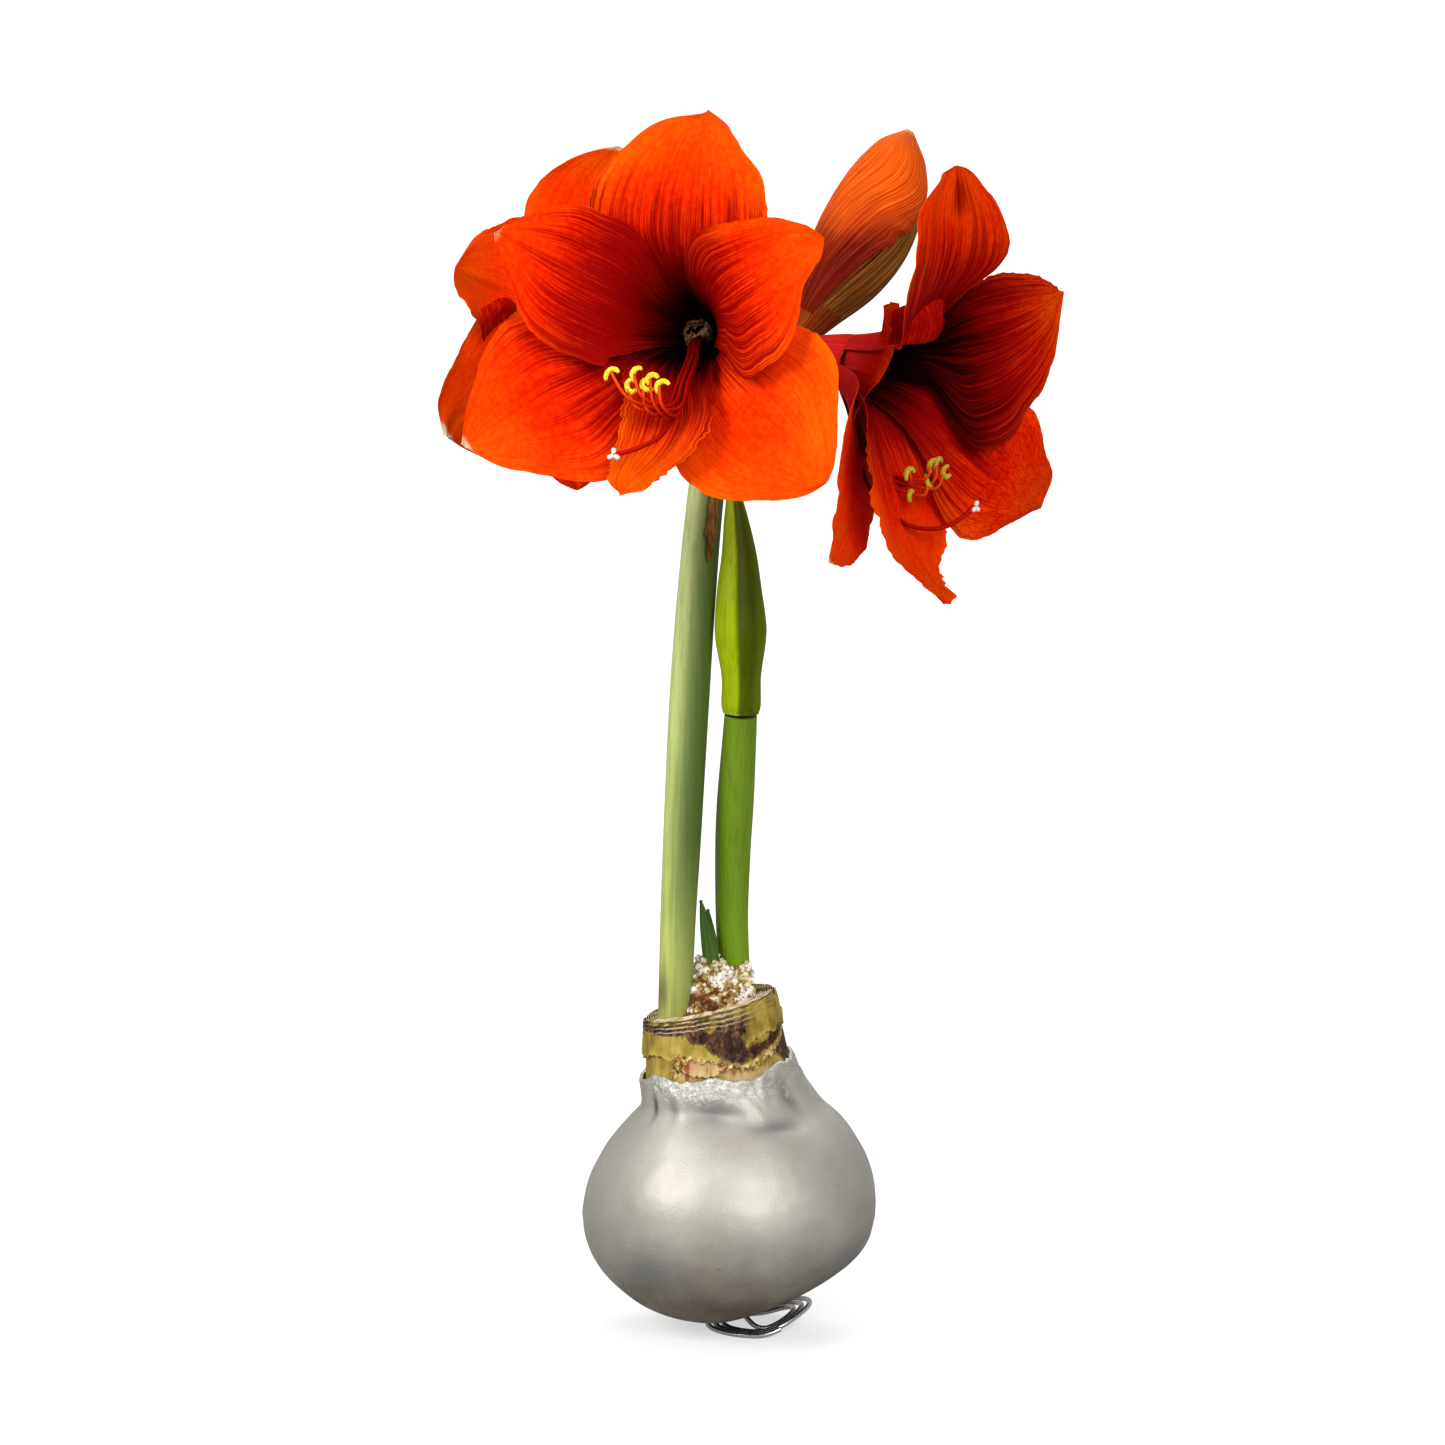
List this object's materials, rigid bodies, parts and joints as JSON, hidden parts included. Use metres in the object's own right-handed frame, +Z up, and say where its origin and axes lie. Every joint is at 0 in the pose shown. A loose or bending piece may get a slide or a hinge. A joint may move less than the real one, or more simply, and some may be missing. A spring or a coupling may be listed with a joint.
{
  "type": "waxed amaryllis bulb",
  "caption": "Amaryllis bulb dipped in silver wax on a coiled wire stand, with red trumpet blooms open on a tall scape and a second scape in bud.",
  "frame": {"origin": "on the floor under the middle of the object", "axes": "+Z up, +X to the viewer's right and +Y away from the viewer; the nearest bloom faces -Y"},
  "size_m": [0.2269, 0.2492, 0.4342],
  "materials": {
    "bright_wire": "bright drawn steel wire",
    "silver_wax": "satin silver wax with a fine sparkle",
    "bulb_flesh": "firm olive-yellow bulb scales",
    "dry_skin": "papery brown tunic",
    "crust": "dry crumbly scale remains",
    "leaf_green": "smooth dark green leaf",
    "pale_green": "pale bloomy green stem",
    "bright_green": "smooth bright green stem",
    "dried_bract": "dry brown bract",
    "petal_red": "soft orange-red petal with darker veins",
    "filament_red": "red filaments with yellow anthers",
    "pistil_pink": "pink style with a white stigma",
    "bud_bronze": "orange-red and bronze folded petals"
  },
  "bodies": {
    "root": {"wire_base": "bright_wire", "wax_coat": "silver_wax", "bulb": "bulb_flesh", "dry_skin": "dry_skin", "crust": "crust", "leaf_front": "leaf_green", "leaf_back": "leaf_green", "flower_stem": "pale_green", "bract_front": "dried_bract", "bract_back": "dried_bract", "bud_stem": "bright_green", "closed_bud": "bright_green", "front_perianth": "petal_red", "front_stamens": "filament_red", "front_pistil": "pistil_pink", "right_perianth": "petal_red", "right_stamens": "filament_red", "right_pistil": "pistil_pink", "back_perianth": "petal_red", "back_stamens": "filament_red", "back_pistil": "pistil_pink", "opening_bud": "bud_bronze"}
  },
  "joints": []
}
